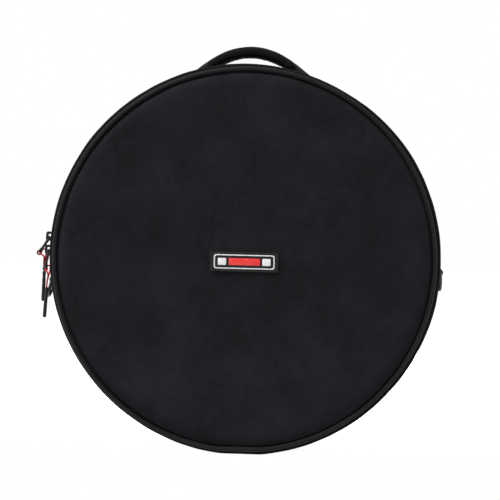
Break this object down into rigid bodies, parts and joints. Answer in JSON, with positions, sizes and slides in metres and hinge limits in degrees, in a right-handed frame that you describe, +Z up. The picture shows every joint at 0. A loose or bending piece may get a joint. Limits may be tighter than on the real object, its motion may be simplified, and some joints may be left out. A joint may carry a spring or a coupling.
{
  "type": "snare drum bag",
  "caption": "Round padded fabric bag for a shallow drum, standing on its rim, with a zipped front lid, sliders with cord pulls, a padded carry handle and side D-rings.",
  "frame": {"origin": "middle of the flat that the bag stands on, at half the bag's depth", "axes": "+Z up to the handle, front lid faces -Y, rear panel faces +Y, +X to the right as seen from the front"},
  "size_m": [0.4257, 0.1973, 0.4262],
  "materials": {
    "panel_fabric": "matte fine weave",
    "band_fabric": "matte weave",
    "piping_fabric": "matte weave over a round cord",
    "foam": "open-cell foam",
    "lining": "brushed lining",
    "binding_tape": "ribbed tape",
    "zip_tape": "knitted tape",
    "zip_coil": "nylon coil",
    "slider_metal": "black enamel",
    "tab_metal": "dark nickel",
    "pull_cord": "braided red cord",
    "pull_rubber": "moulded rubber",
    "webbing": "woven webbing",
    "grip_fabric": "padded cover",
    "ring_plastic": "moulded black",
    "plate_rubber": "moulded rubber plate"
  },
  "bodies": {
    "bag": {"body_side_band": "band_fabric", "body_band_foam": "foam", "body_band_lining": "lining", "rear_panel": "panel_fabric", "rear_panel_foam": "foam", "rear_panel_lining": "lining", "rear_piping": "piping_fabric", "rear_seam_binding": "binding_tape", "body_zip_tape": "zip_tape", "body_zip_coil": "zip_coil", "body_hinge_leaf": "zip_tape", "zip_stop_left": "band_fabric", "zip_stop_right": "band_fabric", "handle_anchor_left": "band_fabric", "handle_anchor_right": "band_fabric", "handle_foot_left": "webbing", "handle_foot_right": "webbing", "d_ring_loop_left": "webbing", "d_ring_loop_right": "webbing"},
    "lid": {"front_panel": "panel_fabric", "front_panel_foam": "foam", "front_panel_lining": "lining", "front_piping": "piping_fabric", "front_seam_binding": "binding_tape", "lid_side_band": "band_fabric", "lid_band_foam": "foam", "lid_band_lining": "lining", "lid_zip_tape": "zip_tape", "lid_zip_coil": "zip_coil", "lid_hinge_leaf": "zip_tape", "name_plate": "plate_rubber"},
    "handle": {"handle_webbing": "webbing", "handle_grip": "grip_fabric"},
    "upper_slider": {"upper_slider": "slider_metal"},
    "upper_tab": {"upper_pull_tab": "tab_metal"},
    "upper_pull": {"upper_pull_cord": "pull_cord", "upper_pull_rubber_end": "pull_rubber"},
    "lower_slider": {"lower_slider": "slider_metal"},
    "lower_tab": {"lower_pull_tab": "tab_metal"},
    "lower_pull": {"lower_pull_cord": "pull_cord", "lower_pull_rubber_end": "pull_rubber"},
    "ring_left": {"d_ring_left": "ring_plastic"},
    "ring_right": {"d_ring_right": "ring_plastic"}
  },
  "joints": [
    {"name": "lid_hinge", "type": "hinge", "parent": "bag", "child": "lid", "pos_m": [0, -0.0515, 0], "axis": [1, 0, 0], "range_deg": [0, 110]},
    {"name": "upper_slider_travel", "type": "hinge", "parent": "bag", "child": "upper_slider", "pos_m": [0, -0.0515, 0.1989], "axis": [0, 1, 0], "range_deg": [0, 244]},
    {"name": "lower_slider_travel", "type": "hinge", "parent": "bag", "child": "lower_slider", "pos_m": [0, -0.0515, 0.1989], "axis": [0, 1, 0], "range_deg": [-71, 0]},
    {"name": "upper_tab_swing", "type": "hinge", "parent": "upper_slider", "child": "upper_tab", "pos_m": [-0.20452, -0.0515, 0.21685], "axis": [0, 1, 0], "range_deg": [0, 85]},
    {"name": "lower_tab_swing", "type": "hinge", "parent": "lower_slider", "child": "lower_tab", "pos_m": [-0.20526, -0.0515, 0.20305], "axis": [0, 1, 0], "range_deg": [-3, 7]},
    {"name": "upper_cord_swing", "type": "hinge", "parent": "upper_tab", "child": "upper_pull", "pos_m": [-0.2153, -0.0515, 0.20025], "axis": [0, 1, 0], "range_deg": [-5, 25]},
    {"name": "lower_cord_swing", "type": "hinge", "parent": "lower_tab", "child": "lower_pull", "pos_m": [-0.2087, -0.0515, 0.18355], "axis": [0, 1, 0], "range_deg": [-5, 20]},
    {"name": "handle_lean", "type": "hinge", "parent": "bag", "child": "handle", "pos_m": [0, 0.01, 0.39459], "axis": [1, 0, 0], "range_deg": [-20, 20], "stiffness_Nm_per_rad": 0.15},
    {"name": "ring_left_swing", "type": "hinge", "parent": "bag", "child": "ring_left", "pos_m": [-0.20275, -0.025, 0.17221], "axis": [0, 1, 0], "range_deg": [-28, 120]},
    {"name": "ring_right_swing", "type": "hinge", "parent": "bag", "child": "ring_right", "pos_m": [0.2043, -0.025, 0.18998], "axis": [0, -1, 0], "range_deg": [-13, 120]}
  ]
}
